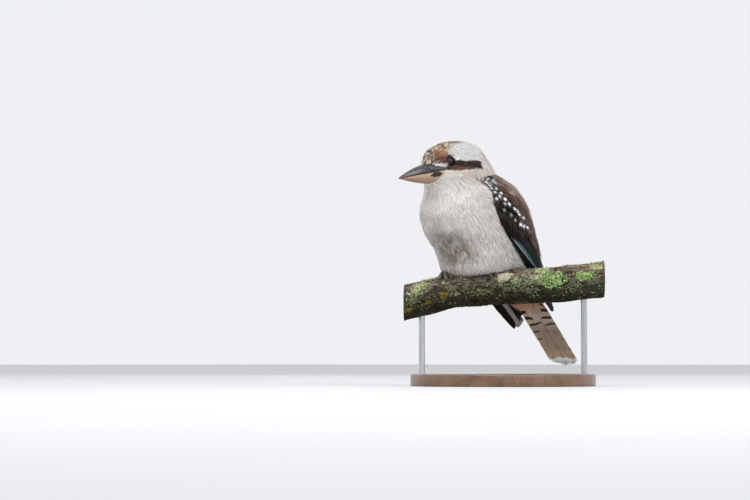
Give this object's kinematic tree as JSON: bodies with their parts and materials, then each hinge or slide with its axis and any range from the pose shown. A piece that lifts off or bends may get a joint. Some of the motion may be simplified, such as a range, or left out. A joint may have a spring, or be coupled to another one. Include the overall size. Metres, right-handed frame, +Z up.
{
  "type": "perched bird display model",
  "caption": "Life-size perched kookaburra with a large bill, folded wings and closed tail, gripping a short branch on a rod-and-disc stand.",
  "frame": {"origin": "centre of the underside of the stand's base, on the floor", "axes": "+Z up, the bird faces -Y, its left side is towards +X"},
  "size_m": [0.24, 0.3542, 0.3181],
  "materials": {
    "plumage_pale": "soft matt off-white and buff feathers; stands in for plumage",
    "plumage_dark": "dark brown to black feathers with white spots and a pale blue patch",
    "plumage_rufous": "rufous brown tail feathers barred black, white at the tip",
    "bill_dark": "dark grey horn, satin; stands in for the upper bill",
    "bill_horn": "pale pinkish horn, satin; stands in for the lower bill",
    "eye": "wet dark brown",
    "foot_skin": "scaled grey-olive skin",
    "bark": "rough grey-brown bark with patches of green and cream lichen",
    "stand_steel": "satin",
    "stand_wood": "dark stained, satin"
  },
  "bodies": {
    "root": {"head": "plumage_pale", "neck": "plumage_pale", "torso": "plumage_pale", "bill_upper": "bill_dark", "bill_lower": "bill_horn", "eye_left": "eye", "eye_right": "eye", "wing_left": "plumage_dark", "wing_right": "plumage_dark", "tail": "plumage_rufous", "leg_left": "foot_skin", "leg_right": "foot_skin", "perch": "bark", "stand_rod_left": "stand_steel", "stand_rod_right": "stand_steel", "stand_base": "stand_wood"}
  },
  "joints": []
}
